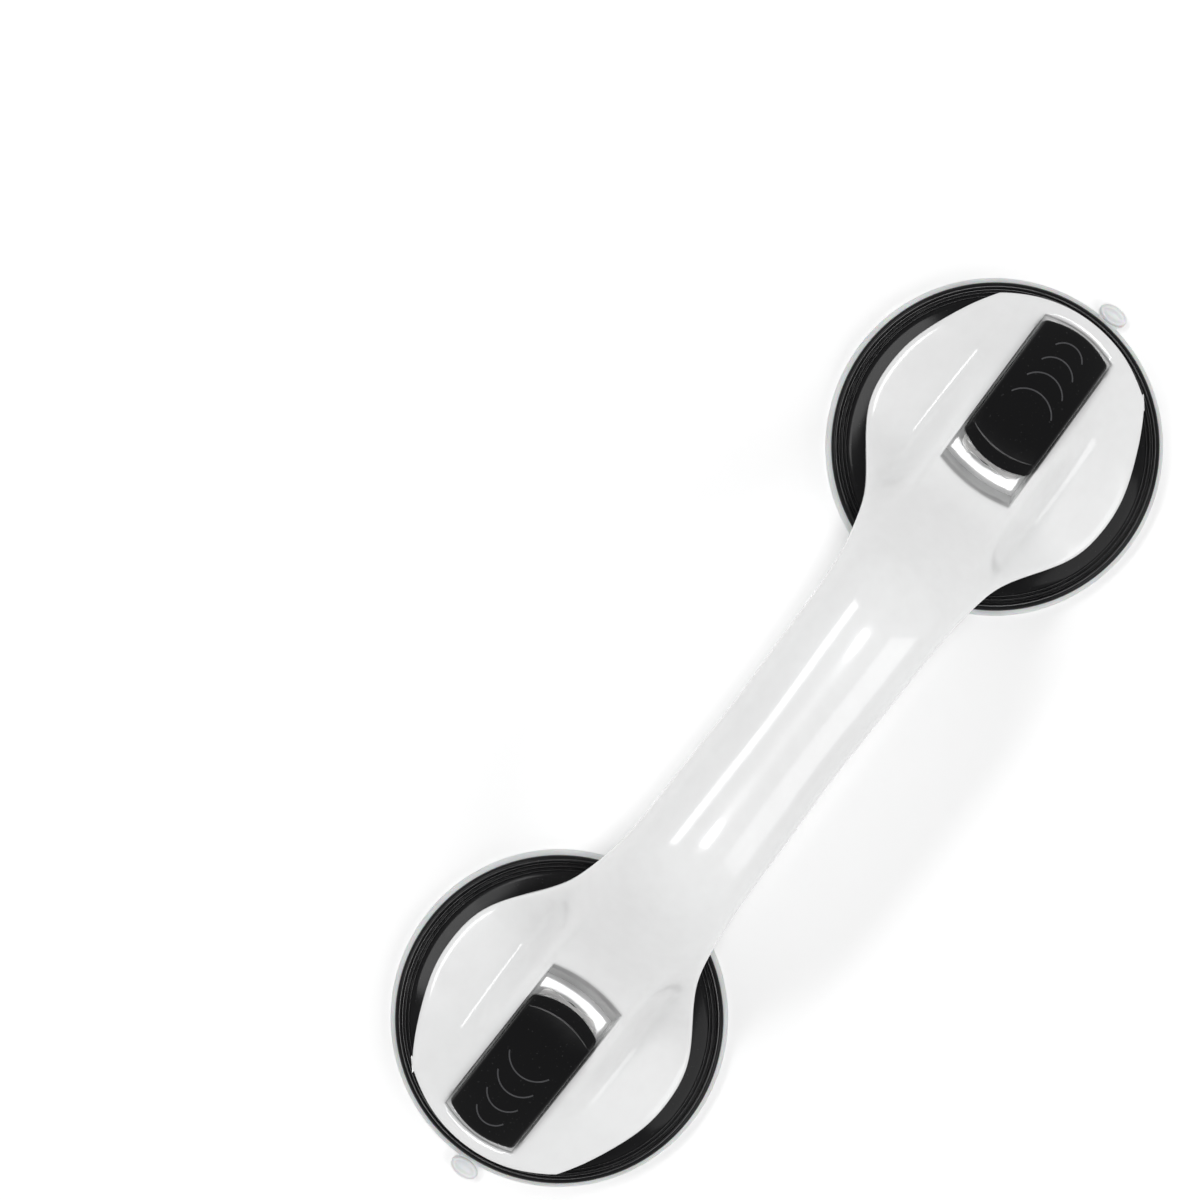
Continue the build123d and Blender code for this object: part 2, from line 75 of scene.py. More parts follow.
# ---------------------------------------------------------------- shader tools
def plug(tree, value, socket):
    """Links a field or a socket to an input, or sets the input to a plain value."""
    if isinstance(value, Field):
        value = value.socket
    if isinstance(value, bpy.types.NodeSocket):
        tree.links.new(value, socket)
    elif value is not None:
        socket.default_value = value


class Field:
    """A number that varies over a surface. Arithmetic on it adds Math nodes."""

    def __init__(self, tree, socket):
        self.tree = tree
        self.socket = socket

    def maths(self, operation, first, second=None):
        node = self.tree.nodes.new("ShaderNodeMath")
        node.operation = operation
        plug(self.tree, first, node.inputs[0])
        plug(self.tree, second, node.inputs[1])
        return Field(self.tree, node.outputs[0])

    def __add__(self, other):
        return self.maths("ADD", self, other)

    __radd__ = __add__

    def __sub__(self, other):
        return self.maths("SUBTRACT", self, other)

    def __rsub__(self, other):
        return self.maths("SUBTRACT", other, self)

    def __mul__(self, other):
        return self.maths("MULTIPLY", self, other)

    __rmul__ = __mul__

    def between(self, low, high):
        """0 below low, 1 above high, smooth between."""
        node = self.tree.nodes.new("ShaderNodeMapRange")
        node.interpolation_type = "SMOOTHSTEP"
        plug(self.tree, self, node.inputs["Value"])
        node.inputs["From Min"].default_value = low
        node.inputs["From Max"].default_value = high
        return Field(self.tree, node.outputs["Result"])


class Paint:
    """One material: a Principled shader and the nodes that feed it."""

    def __init__(self, name, **settings):
        self.material = bpy.data.materials.new(name)
        self.material.use_nodes = True
        self.tree = self.material.node_tree
        self.shader = self.tree.nodes["Principled BSDF"]
        self.place = self.node("ShaderNodeTexCoord").outputs["Object"]
        self.set(**settings)

    def node(self, kind, settings=None, **inputs):
        """Any node: its settings first, then values or links for its sockets."""
        made = self.tree.nodes.new(kind)
        for key, value in (settings or {}).items():
            setattr(made, key, value)
        for key, value in inputs.items():
            plug(self.tree, value, made.inputs[key.replace("_", " ")])
        return made

    def set(self, **inputs):
        for key, value in inputs.items():
            plug(self.tree, value, self.shader.inputs[key.replace("_", " ")])

    def noise(self, scale, detail=3.0, roughness=0.5, stretch=(1, 1, 1)):
        """Cloudy variation with a size of about one over scale, in metres."""
        place = self.node("ShaderNodeMapping", Vector=self.place, Scale=stretch).outputs["Vector"]
        made = self.node("ShaderNodeTexNoise", Vector=place, Scale=scale, Detail=detail, Roughness=roughness)
        return Field(self.tree, made.outputs["Fac"])

    def blend(self, mask, first, second):
        """The first colour where mask is 0 and the second where it is 1."""
        mix = self.node("ShaderNodeMix", {"data_type": "RGBA"})
        plug(self.tree, mask, mix.inputs[0])
        plug(self.tree, first, mix.inputs[6])
        plug(self.tree, second, mix.inputs[7])
        return mix.outputs[2]

    def bump(self, height, strength, depth):
        made = self.node("ShaderNodeBump", Height=height, Strength=strength, Distance=depth)
        self.set(Normal=made.outputs["Normal"])


def grey(value, tint=(1.0, 1.0, 1.0)):
    return (value * tint[0], value * tint[1], value * tint[2], 1.0)


# ---------------------------------------------------------------- materials
def white_plastic():
    """Glossy white moulding: faint mottling, handling haze and the shallow waviness of moulded walls."""
    paint = Paint("white_plastic", IOR=1.5, Coat_Roughness=0.06)
    mottle = paint.noise(18, detail=2.0)
    fine = paint.noise(240, detail=2.0)
    haze = paint.noise(45, detail=4.0).between(0.42, 0.72)
    tone = mottle * 0.7 + fine * 0.3
    paint.set(Base_Color=paint.blend(tone.between(0.3, 0.7), grey(0.73), grey(0.78, (0.995, 1, 1))))
    paint.set(Roughness=0.17 + haze * 0.07, Coat_Weight=0.5 - haze * 0.15)
    wave = paint.noise(28, detail=1.0)
    paint.bump(wave * 0.8 + fine * 0.05, 0.12, 0.0006)
    return paint.material


def black_gloss(name, base, roughness):
    """Glossy black moulding: dust specks, faint swirls of handling and a soft waviness."""
    paint = Paint(name, IOR=1.5, Specular_IOR_Level=0.15)
    swirl = paint.noise(60, detail=5.0, stretch=(1, 1.6, 1))
    specks = paint.noise(1500, detail=1.0).between(0.7, 0.78)
    paint.set(Base_Color=paint.blend(specks * 0.25, grey(base, (1, 1, 1.06)), grey(0.09)))
    paint.set(Roughness=roughness + swirl.between(0.4, 0.75) * 0.09)
    paint.bump(paint.noise(30, detail=1.0), 0.06, 0.0006)
    return paint.material


def clear_rubber():
    """Soft translucent cup: milky grey, cloudier inside, with a satin skin."""
    paint = Paint("clear_rubber", IOR=1.46, Transmission_Weight=0.3, Subsurface_Weight=0.3)
    paint.set(Subsurface_Scale=0.003)
    cloud = paint.noise(70, detail=3.0)
    fine = paint.noise(700, detail=2.0)
    milky = paint.blend(cloud.between(0.3, 0.7), grey(0.82, (0.98, 1, 1)), grey(0.92, (0.99, 1, 1)))
    paint.set(Base_Color=milky)
    paint.set(Roughness=0.3 + cloud * 0.15)
    paint.bump(fine, 0.15, 0.0001)
    return paint.material


def nylon():
    """Natural nylon of the bush and the pad's core."""
    paint = Paint("nylon", IOR=1.53, Subsurface_Weight=0.15, Subsurface_Scale=0.002)
    cloud = paint.noise(160, detail=3.0)
    cream = paint.blend(cloud.between(0.3, 0.7), grey(0.66, (1, 0.98, 0.9)), grey(0.76, (1, 0.985, 0.93)))
    paint.set(Base_Color=cream)
    paint.set(Roughness=0.42 + cloud * 0.12)
    paint.bump(paint.noise(1400, detail=2.0), 0.2, 0.00006)
    return paint.material


def steel(name, tint, scale, stretch, roughness):
    """Machined or drawn steel: fine lines one way, duller where it has been handled."""
    paint = Paint(name, Metallic=1.0, IOR=2.5)
    lines = paint.noise(scale, detail=4.0, stretch=stretch)
    stain = paint.noise(90, detail=3.0)
    paint.set(Base_Color=paint.blend(stain.between(0.35, 0.7), grey(0.62, tint), grey(0.48, tint)))
    paint.set(Roughness=roughness + lines * 0.16 + stain * 0.06)
    paint.bump(lines, 0.25, 0.00004)
    return paint.material


def floor_paint():
    """Plain pale table top."""
    paint = Paint("pale_floor", IOR=1.4)
    cloud = paint.noise(6, detail=2.0)
    paint.set(Base_Color=paint.blend(cloud, grey(0.96), grey(0.98)), Roughness=0.6 + cloud * 0.1)
    return paint.material


WHITE = white_plastic()
HOUSING_BLACK = black_gloss("black_housing", 0.008, 0.12)
LEVER_BLACK = black_gloss("black_lever", 0.006, 0.16)
# The ribs' black is ten times lighter than the lever's: a painted highlight for the glint along the rib
# edges.
RIB_BLACK_PAINTED_HIGHLIGHT = black_gloss("black_lever_ribs", 0.06, 0.3)
RUBBER = clear_rubber()
NYLON = nylon()
TURNED = steel("turned_steel", (1.0, 1.0, 1.01), 900, (1, 1, 6), 0.2)
STAMPED = steel("stamped_steel", (1.0, 0.99, 0.98), 500, (1, 7, 1), 0.26)
WIRE = steel("spring_wire", (0.98, 0.99, 1.0), 1200, (1, 1, 1), 0.2)
ZINC = steel("zinc_screw", (0.97, 0.99, 1.0), 1600, (1, 1, 1), 0.28)


# ---------------------------------------------------------------- mesh tools
def merge_doubles(mesh, turn_outwards=False):
    """Merges doubled points, and turns a closed mesh's faces outwards."""
    shape = bmesh.new()
    shape.from_mesh(mesh)
    bmesh.ops.remove_doubles(shape, verts=shape.verts, dist=1e-6)
    if turn_outwards:
        bmesh.ops.recalc_face_normals(shape, faces=shape.faces)
    shape.to_mesh(mesh)
    shape.free()
    mesh.validate()


def loose_object(name, points, faces, material):
    """A closed mesh from points in millimetres."""
    mesh = bpy.data.meshes.new(name)
    mesh.from_pydata([tuple(c * MM for c in point) for point in points], [], faces)
    mesh.materials.append(material)
    merge_doubles(mesh, turn_outwards=True)
    made = bpy.data.objects.new(name, mesh)
    bpy.context.scene.collection.objects.link(made)
    return made


def shade(piece, sharp=40):
    """Smooth shading, with edges sharper than the angle in degrees kept crisp."""
    mesh = piece.data
    mesh.polygons.foreach_set("use_smooth", [True] * len(mesh.polygons))
    mesh.set_sharp_from_angle(angle=math.radians(sharp))
    return piece


def bake_modifiers(piece):
    """Turns a piece's modifiers into its mesh."""
    bpy.context.view_layer.update()
    seen = piece.evaluated_get(bpy.context.evaluated_depsgraph_get())
    mesh = bpy.data.meshes.new_from_object(seen)
    piece.modifiers.clear()
    old = piece.data
    piece.data = mesh
    mesh.name = piece.name
    bpy.data.meshes.remove(old)
    return piece


def combine(piece, other, operation):
    """Cuts another closed mesh from the piece or joins it on, and removes the other."""
    cut = piece.modifiers.new("cut", "BOOLEAN")
    cut.operation = operation
    cut.solver = "EXACT"
    cut.use_self = False
    cut.object = other
    bake_modifiers(piece)
    bpy.data.objects.remove(other)
    return piece


def finish_piece(piece, body, replaces):
    """Parents a piece to the body it rides on and hides the CAD nodes it stands for."""
    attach(piece, body)
    if replaces:
        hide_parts(*replaces)
    return piece


def finish_pair(piece, name, body, node, squash_to=None):
    """Keeps a right head's piece and adds its mirror image at the left head."""
    left = bpy.data.objects.new(f"{name}_left", piece.data.copy())
    bpy.context.scene.collection.objects.link(left)
    left.data.transform(Matrix.Scale(-1, 4, (1, 0, 0)))
    left.data.flip_normals()
    piece.name = f"{name}_right"
    for made, side in ((piece, "right"), (left, "left")):
        made.data.name = made.name
        rides_on = body if body == "handle" else f"{body}_{side}"
        finish_piece(made, rides_on, [f"{node}_{side}"])
        if squash_to:
            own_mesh(made)


def grid_faces(rows, columns, wrap_rows=False, wrap_columns=False):
    """Quads between neighbouring points of a grid stored row by row."""
    faces = []
    for i in range(rows if wrap_rows else rows - 1):
        here, after = i * columns, (i + 1) % rows * columns
        for j in range(columns if wrap_columns else columns - 1):
            beside = (j + 1) % columns
            faces.append((here + j, here + beside, after + beside, after + j))
    return faces


def capped_faces(rows, columns):
    """Quads between rings of points, with the first and the last ring closed by one face each."""
    ends = [tuple(range(columns)), tuple(range((rows - 1) * columns, rows * columns))]
    return grid_faces(rows, columns, False, True) + ends


def spun(name, profile, material, steps=240, centre_x=None):
    """A closed profile of (radius, height) turned about a head's upright axis."""
    x = HEAD_X if centre_x is None else centre_x
    points = []
    for turn in range(steps):
        angle = 2 * math.pi * turn / steps
        points += [(x + r * math.cos(angle), r * math.sin(angle), z) for r, z in profile]
    return loose_object(name, points, grid_faces(steps, len(profile), True, True), material)


def extruded(name, outline, low_y, high_y, material, head_x=True):
    """A prism across the bar: an outline of (x, z) between two values of y."""
    x0 = HEAD_X if head_x else 0
    points = [(x0 + x, y, z) for y in (low_y, high_y) for x, z in outline]
    return loose_object(name, points, capped_faces(2, len(outline)), material)


def posts(name, spots, radius, low_z, high_z, material, sides=48):
    """Upright round posts at the spots, as one mesh of separate closed shells."""
    points, faces = [], []
    for x, y in spots:
        first = len(points)
        for z in (low_z, high_z):
            turns = [2 * math.pi * i / sides for i in range(sides)]
            points += [(x + radius * math.cos(t), y + radius * math.sin(t), z) for t in turns]
        faces += [tuple(first + i for i in face) for face in capped_faces(2, sides)]
    return loose_object(name, points, faces, material)


def arc(centre, radius, start, end, count=8):
    """Points of a circular arc, angles in degrees."""
    turns = np.radians(np.linspace(start, end, count))
    return [(centre[0] + radius * math.cos(t), centre[1] + radius * math.sin(t)) for t in turns]


def rounded_outline(corners, closed=True, steps=6):
    """An outline of corners (x, z, radius) with each corner rounded to its radius."""
    points = []
    count = len(corners)
    for i, (x, z, radius) in enumerate(corners):
        if radius == 0 or (not closed and i in (0, count - 1)):
            points.append((x, z))
            continue
        here = Vector((x, z))
        back = (Vector(corners[i - 1][:2]) - here).normalized()
        ahead = (Vector(corners[(i + 1) % count][:2]) - here).normalized()
        half = back.angle(ahead) / 2
        middle = here + (back + ahead).normalized() * radius / math.sin(half)
        first = here + back * radius / math.tan(half) - middle
        last = here + ahead * radius / math.tan(half) - middle
        for step in range(steps + 1):
            points.append(tuple(middle + first.slerp(last, step / steps, first) * radius))
    return points


def inset(outline, distance):
    """An outline moved inwards by a distance along its normals."""
    moved = []
    area = sum(a[0] * b[1] - b[0] * a[1] for a, b in zip(outline, outline[1:] + outline[:1]))
    turn = 1 if area > 0 else -1
    for i, (x, z) in enumerate(outline):
        before, after = outline[i - 1], outline[(i + 1) % len(outline)]
        along = Vector((after[0] - before[0], after[1] - before[1])).normalized()
        moved.append((x - turn * along.y * distance, z + turn * along.x * distance))
    return moved


def ease(value, start, end):
    """0 before start, 1 after end, smooth between."""
    t = min(max((value - start) / (end - start), 0.0), 1.0)
    return t * t * (3 - 2 * t)


class Curve:
    """A smooth curve through chosen points: a natural cubic spline."""

    def __init__(self, points):
        self.x = np.array([p[0] for p in points], float)
        self.y = np.array([p[1] for p in points], float)
        count = len(points)
        gap = np.diff(self.x)
        system = np.eye(count)
        side = np.zeros(count)
        for i in range(1, count - 1):
            system[i, i - 1 : i + 2] = (gap[i - 1], 2 * (gap[i - 1] + gap[i]), gap[i])
            rise = (self.y[i + 1] - self.y[i]) / gap[i] - (self.y[i] - self.y[i - 1]) / gap[i - 1]
            side[i] = 6 * rise
        self.bend = np.linalg.solve(system, side)

    def __call__(self, x):
        i = int(min(max(np.searchsorted(self.x, x) - 1, 0), len(self.x) - 2))
        gap = self.x[i + 1] - self.x[i]
        a = (self.x[i + 1] - x) / gap
        b = 1 - a
        cubic = ((a**3 - a) * self.bend[i] + (b**3 - b) * self.bend[i + 1]) * gap * gap / 6
        return a * self.y[i] + b * self.y[i + 1] + cubic


def even(points):
    """Chosen points of one half of the bar, mirrored to the other."""
    return [(-x, y) for x, y in reversed(points[1:])] + points


# ---------------------------------------------------------------- the handle's form
# x, half width, height of the rim, height of the crown
STATIONS = [
    (0.0, 17.4, 57.0, 72.0),
    (24.0, 17.9, 57.0, 71.9),
    (41.0, 18.2, 56.2, 70.6),
    (53.0, 19.2, 51.5, 66.0),
    (62.0, 20.9, 43.0, 58.5),
    (69.0, 23.1, 33.5, 50.5),
    (76.0, 27.1, 22.8, 42.8),
    (83.0, 32.0, 15.2, 36.6),
    (91.0, 36.6, 11.6, 32.2),
    (102.0, 38.8, 10.5, 28.9),
    (113.0, 37.9, 10.2, 25.0),
    (124.0, 34.2, 9.8, 20.8),
    (135.0, 28.8, 9.2, 16.6),
    (142.5, 23.8, 8.8, 13.9),
    (152.0, 16.6, 8.4, 12.4),
]
HALF_WIDTH = Curve(even([(x, half) for x, half, rim, crown in STATIONS]))
RIM = Curve(even([(x, rim) for x, half, rim, crown in STATIONS]))
CROWN = Curve(even([(x, crown) for x, half, rim, crown in STATIONS]))
BELLIES = [(0.0, 43.0), (24.0, 43.0), (41.0, 42.0), (53.0, 37.6)]
BELLIES += [(62.0, 30.4), (69.0, 22.6), (76.0, 15.6), (80.0, 12.9)]
BELLY = Curve(even(BELLIES))
PLATE_FROM_X = 54.0  # the grip's oval turns into the head's plate between these two
PLATE_FULL_X = 92.0
PLATE_R = 44.5  # outer end of the head, about the cup centre
PLATE_CORNER_X = 35.5  # where the head's side meets its rounded end, from the cup centre
ROUND_FROM_X = 8.0  # outwards of this the lines across the head bend to its rounded end
RIDGE_IN = 12.5  # the ridge round the pocket is level up to here and gone at RIDGE_OUT
RIDGE_OUT = 22.0
INNER_Y = 13.5  # half width of the grid's middle band, which holds the pocket
INNER_SQUEEZE = 0.80  # how much narrower that band is on the grip
PLATE_RISE = 4.6
EDGE_GRIP = 0.8
EDGE_PLATE = 2.6
WALL = 2.3
SEAM = 0.15

# ---- sizes repeated from the design ----
HUB_R = 6.3
BUSH_R = 5.2
SPRING_WELL_R = 7.6
SPRING_WELL_TOP_Z = 9.9
SCREW_R = 1.5
SCREW_HEAD_R = 2.8
THREAD_PITCH = 0.6
THREAD_DEPTH = 0.3
SCREW_PITCH = 15.5
BOSS_R = 3.4
COVER_POST_R = 4.6
RECESS_DEPTH = 4.0
DECK_R = 24.0
DECK_Z = 11.0
DECK_FOOT_Z = 8.8
COVER_SCREW_X = (-40.0, -13.0, 13.0, 40.0)
TAB_X = 50.9
TAB_Y = -4.3
TAB_HALF_LENGTH = 4.4
TAB_HALF_DEPTH = 2.6
TAB_NECK_HALF = 3.2
STROKE = 4.0
PAD_MIDDLE_R = 36.2
PAD_FLAT_SHARE = 2.2 / 6.2  # height left of the pad's middle when the stud is let down
CAM_LOCKED = PIN_Z - CAM_PLATE_TOP_Z
CAM_GAP = 0.08  # left between lobe and cam plate
LOBE_INNER = 4.4
LOBE_OUTER = 8.4
LOBE_FRONT_X = 5.2
SLOT_FRONT_X = 4.5
SLOT_RISE = 3.3  # the stud's slot, above the pin's axis
PIN_BORE_R = 1.55
PIN_BORE_STOP = 0.95  # wall left at each end of the pin's bore
RIB_HALF = 0.8
LEVER_HEEL_X = -6.3
LEVER_HEEL_BOW = 3.1
LEVER_TIP_BOW = 2.7
EDGE_R = 1.1
CHEVRON_FIRST_X = 17.9
CHEVRON_HALF_SWEEP = math.radians(63)

# ---- the lever's pocket, from the head's centre ----
FLOOR_Z = HUB_TOP_Z
FLOOR_TIP_Z = 11.5
FLOOR_BEND_X = 22.0  # the floor is level up to here and then falls to its tip
POCKET_TIP_X = 40.6


def plateness(x):
    """0 on the grip, 1 on the head."""
    return ease(abs(x), PLATE_FROM_X, PLATE_FULL_X)


def crown_height(x, y):
    """Height of the handle's top: an oval on the grip, a ridged plate on the head."""
    half, rim, crown, plate = HALF_WIDTH(x), RIM(x), CROWN(x), plateness(x)
    share = min(abs(y) / half, 1.0)
    edge = EDGE_GRIP + (EDGE_PLATE - EDGE_GRIP) * plate
    oval = (crown - rim - edge) * math.sqrt(1 - share**2)
    swell = min(PLATE_RISE, (crown - rim - edge) * 0.5)
    ridge = (crown - rim - edge - swell) * (1 - ease(abs(y), RIDGE_IN, RIDGE_OUT))
    return rim + edge + (1 - plate) * oval + plate * (swell * (1 - share**2) + ridge)


def pocket_floor(head_x):
    """Height of the lever pocket's floor, which falls towards the outer end."""
    fall = (FLOOR_Z - FLOOR_TIP_Z) / (POCKET_TIP_X - FLOOR_BEND_X)
    return FLOOR_Z - fall * max(head_x - FLOOR_BEND_X, 0.0)


# Ranks of the grid's lines, from the pocket's floor up its wall and out. A point takes the higher one.
FLOOR, FOOT, LOW_WALL, MID_WALL, HIGH_WALL, MOUTH, LIP, OUTSIDE = range(8)
BOW_HEEL = 2.2  # how far the pocket's ends are bowed at the sides of the middle band
BOW_TIP = -1.4
BOWS = [(-104, 0), (-60, 0), (-40, 0), (-17, BOW_HEEL), (-9, BOW_HEEL), (10, 0), (28, -0.6)]
BOWS += [(POCKET_TIP_X, BOW_TIP), (PLATE_R, 0)]
POCKET_BOW = Curve(BOWS)


def shell_rows():
    """Lines across the bar: place along the head, pocket rank, drop step at the outer edge."""
    rows = [(u, OUTSIDE, -1) for u in np.linspace(-HEAD_X, -17.4, 64)]
    rows += [(-16.3, OUTSIDE, -1), (-15.6, LIP, -1), (-15.3, MOUTH, -1), (-14.2, HIGH_WALL, -1)]
    rows += [(-13.1, MID_WALL, -1), (-12.0, LOW_WALL, -1), (-11.0, FOOT, -1)]
    rows += [(u, FLOOR, -1) for u in np.linspace(-10.4, 39.6, 36)]
    rows += [(40.2, FOOT, -1), (40.26, LOW_WALL, -1), (40.34, MID_WALL, -1), (40.42, HIGH_WALL, -1)]
    rows += [(40.5, MOUTH, -1), (40.8, LIP, -1), (41.6, OUTSIDE, -1), (42.4, OUTSIDE, -1)]
    rows += [(PLATE_R - inside, OUTSIDE, step) for step, inside in enumerate(EDGE_IN)]
    return rows


def shell_columns():
    """Lines along the bar: place (millimetres, then a share or a step), pocket rank, drop step."""
    columns = [(y, FLOOR, -1) for y in (0.0, 1.9, 3.8, 5.7, 7.6, 9.4, 10.6, 11.35)]
    columns += [(11.7, FOOT, -1), (11.77, LOW_WALL, -1), (11.84, MID_WALL, -1), (11.91, HIGH_WALL, -1)]
    columns += [(12.0, MOUTH, -1), (12.3, LIP, -1), (13.1, OUTSIDE, -1)]
    outer = [(1.0 + t, OUTSIDE, -1) for t in np.linspace(0, 1, 24)[1:-1]]
    return columns, outer, [(k, OUTSIDE, k) for k in range(6)]


EDGE_IN = (1.3, 0.6, 0.2, 0.0, 0.0, 0.2)  # how far each step of the rounded edge lies inside the outline
EDGE_DOWN = (0.0, 0.18, 0.5, 1.1)  # how far the first steps lie below the top face
GRIP_EDGE_SCALE = 0.2  # how small that rounding is on the grip
RIM_ROUND = 0.35


def shell_point(u, row_rank, row_step, v, column_rank, column_step, zone):
    """One point of the shell's outer skin at the right head or half grip."""
    bent = (PLATE_CORNER_X - ROUND_FROM_X) / (PLATE_R - ROUND_FROM_X)
    edge_u = u if u < ROUND_FROM_X else ROUND_FROM_X + (u - ROUND_FROM_X) * bent
    edge_y = HALF_WIDTH(HEAD_X + edge_u)
    plate = plateness(HEAD_X + u)
    squeeze = INNER_SQUEEZE + (1 - INNER_SQUEEZE) * ease(u, -62, -20)
    inner_y = INNER_Y * squeeze
    scale = GRIP_EDGE_SCALE + (1 - GRIP_EDGE_SCALE) * plate
    if zone == "inner":
        y = v * squeeze
    elif zone == "outer":
        t = v - 1.0
        start_angle = math.asin(inner_y / edge_y)
        rim_y = edge_y - EDGE_IN[0] * scale
        round_y = edge_y * math.sin(start_angle + (math.pi / 2 - start_angle) * t)
        y = (1 - plate) * min(round_y, rim_y - 0.02 * (1 - t)) + plate * (inner_y + (rim_y - inner_y) * t)
    else:
        y = edge_y - EDGE_IN[v] * scale
    whole = 1 - math.sqrt(1 - (edge_y / PLATE_R) ** 2)
    part = 1 - math.sqrt(max(1 - (y / PLATE_R) ** 2, 0))
    spread = (y / INNER_Y) ** 2 if y < INNER_Y else 1 - ease(y, INNER_Y, max(edge_y, INNER_Y + 0.5))
    head_x = u + (edge_u - u) * part / whole + POCKET_BOW(u) * spread
    x = HEAD_X + head_x
    return (x, y, shell_height(x, y, max(row_rank, column_rank), max(row_step, column_step), plate))


def shell_height(x, y, rank, step, plate):
    """Height of the shell's outer skin at a line's rank in the pocket, or its step down the outer edge."""
    top = crown_height(x, min(y, HALF_WIDTH(x)))
    if step >= len(EDGE_DOWN):
        return RIM(x) + RIM_ROUND if step == len(EDGE_DOWN) else RIM(x)
    if step >= 0:
        return top - EDGE_DOWN[step] * plate
    low = pocket_floor(x - HEAD_X)
    lip = min(1.0, 0.3 * max(top - low, 0.0))
    wall = top - lip - low
    return {
        FLOOR: low,
        FOOT: low + 0.25,
        LOW_WALL: low + 0.3 * wall,
        MID_WALL: low + 0.6 * wall,
        HIGH_WALL: low + 0.85 * wall,
        MOUTH: top - lip,
        LIP: top - 0.3 * lip,
        OUTSIDE: top,
    }[rank]


def walled(name, mesh):
    """A white piece from an open skin, with its wall added on the inside."""
    mesh.materials.append(WHITE)
    piece = bpy.data.objects.new(name, mesh)
    bpy.context.scene.collection.objects.link(piece)
    thick = piece.modifiers.new("wall", "SOLIDIFY")
    thick.thickness = WALL * MM
    thick.offset = -1
    thick.use_rim = True
    thick.use_even_offset = False
    return bake_modifiers(piece)


def make_handle_shell():
    """The white shell: one grid over both heads and the grip, with a wall, hub openings and screw bosses."""
    inner, outer, edge = shell_columns()
    columns = [(c, "inner") for c in inner] + [(c, "outer") for c in outer] + [(c, "edge") for c in edge]
    half = []
    for row in shell_rows():
        right = [shell_point(*row, *column, zone) for column, zone in columns]
        half.append([(x, -y, z) for x, y, z in reversed(right[1:])] + right)
    grid = [[(-x, y, z) for x, y, z in row] for row in reversed(half[1:])] + half
    points = [point for row in grid for point in row]
    mesh = bpy.data.meshes.new("handle_shell")
    faces = [tuple(reversed(face)) for face in grid_faces(len(grid), len(grid[0]))]
    mesh.from_pydata([tuple(c * MM for c in point) for point in points], [], faces)
    merge_doubles(mesh)
    shell = walled("handle_shell_skin", mesh)
    hubs = [(HEAD_X, 0), (-HEAD_X, 0)]
    openings = posts("hub_openings", hubs, HUB_R + SEAM, FLOOR_Z - 6, FLOOR_Z + 2, WHITE, 96)
    combine(shell, openings, "DIFFERENCE")
    for along in (-SCREW_PITCH, SCREW_PITCH):
        reach = [crown_height(HEAD_X + along + i * BOSS_R, SCREW_PITCH + BOSS_R) for i in (-1, 0, 1)]
        spots = [(i * (HEAD_X + along), j * SCREW_PITCH) for i in (-1, 1) for j in (-1, 1)]
        bosses = posts("screw_bosses", spots, BOSS_R, DECK_Z + 0.02, min(reach) - 1.0, WHITE)
        combine(shell, bosses, "UNION")
        holes = posts("screw_holes", spots, SCREW_R + 0.05, DECK_Z - 1, DECK_Z + 6, WHITE)
        combine(shell, holes, "DIFFERENCE")
    finish_piece(shade(shell, 50), "handle", ["handle_shell"])


def cover_ring(x, share=1.0, sides=49):
    """Points across the cover at x: a half oval under the parting line, at a share of its full size."""
    half, rim, belly = HALF_WIDTH(x), RIM(x) - SEAM, BELLY(x)
    turns = np.linspace(0, math.pi, sides)
    return [(x, half * math.cos(t) * share, rim - (rim - belly) * math.sin(t) * share) for t in turns]


def make_grip_cover():
    """The grip's underside: an oval trough with closed ends, screw posts and recesses for screw heads."""
    rows = [cover_ring(x) for x in np.linspace(-COVER_END_X, COVER_END_X, 121)]
    mesh = bpy.data.meshes.new("grip_cover")
    faces = [tuple(reversed(face)) for face in grid_faces(len(rows), len(rows[0]))]
    mesh.from_pydata([tuple(c * MM for c in point) for row in rows for point in row], [], faces)
    cover = walled("grip_cover_skin", mesh)
    for side in (-1, 1):
        wall_x = (side * (COVER_END_X - WALL), side * (COVER_END_X - 0.3))
        end = [(x, y, z - 0.1) for x in wall_x for _, y, z in cover_ring(x, 0.97)]
        combine(cover, loose_object("cover_end", end, capped_faces(2, len(end) // 2), WHITE), "UNION")
    spots = [(x, 0) for x in COVER_SCREW_X]
    low_z = BELLY(0)
    combine(cover, posts("cover_posts", spots, COVER_POST_R, low_z + 1.6, RIM(0) - 1, WHITE), "UNION")
    recesses = posts("head_recesses", spots, SCREW_HEAD_R + 0.3, low_z - 3, low_z + RECESS_DEPTH, WHITE)
    combine(cover, recesses, "DIFFERENCE")
    finish_piece(shade(cover, 50), "handle", ["grip_cover"])


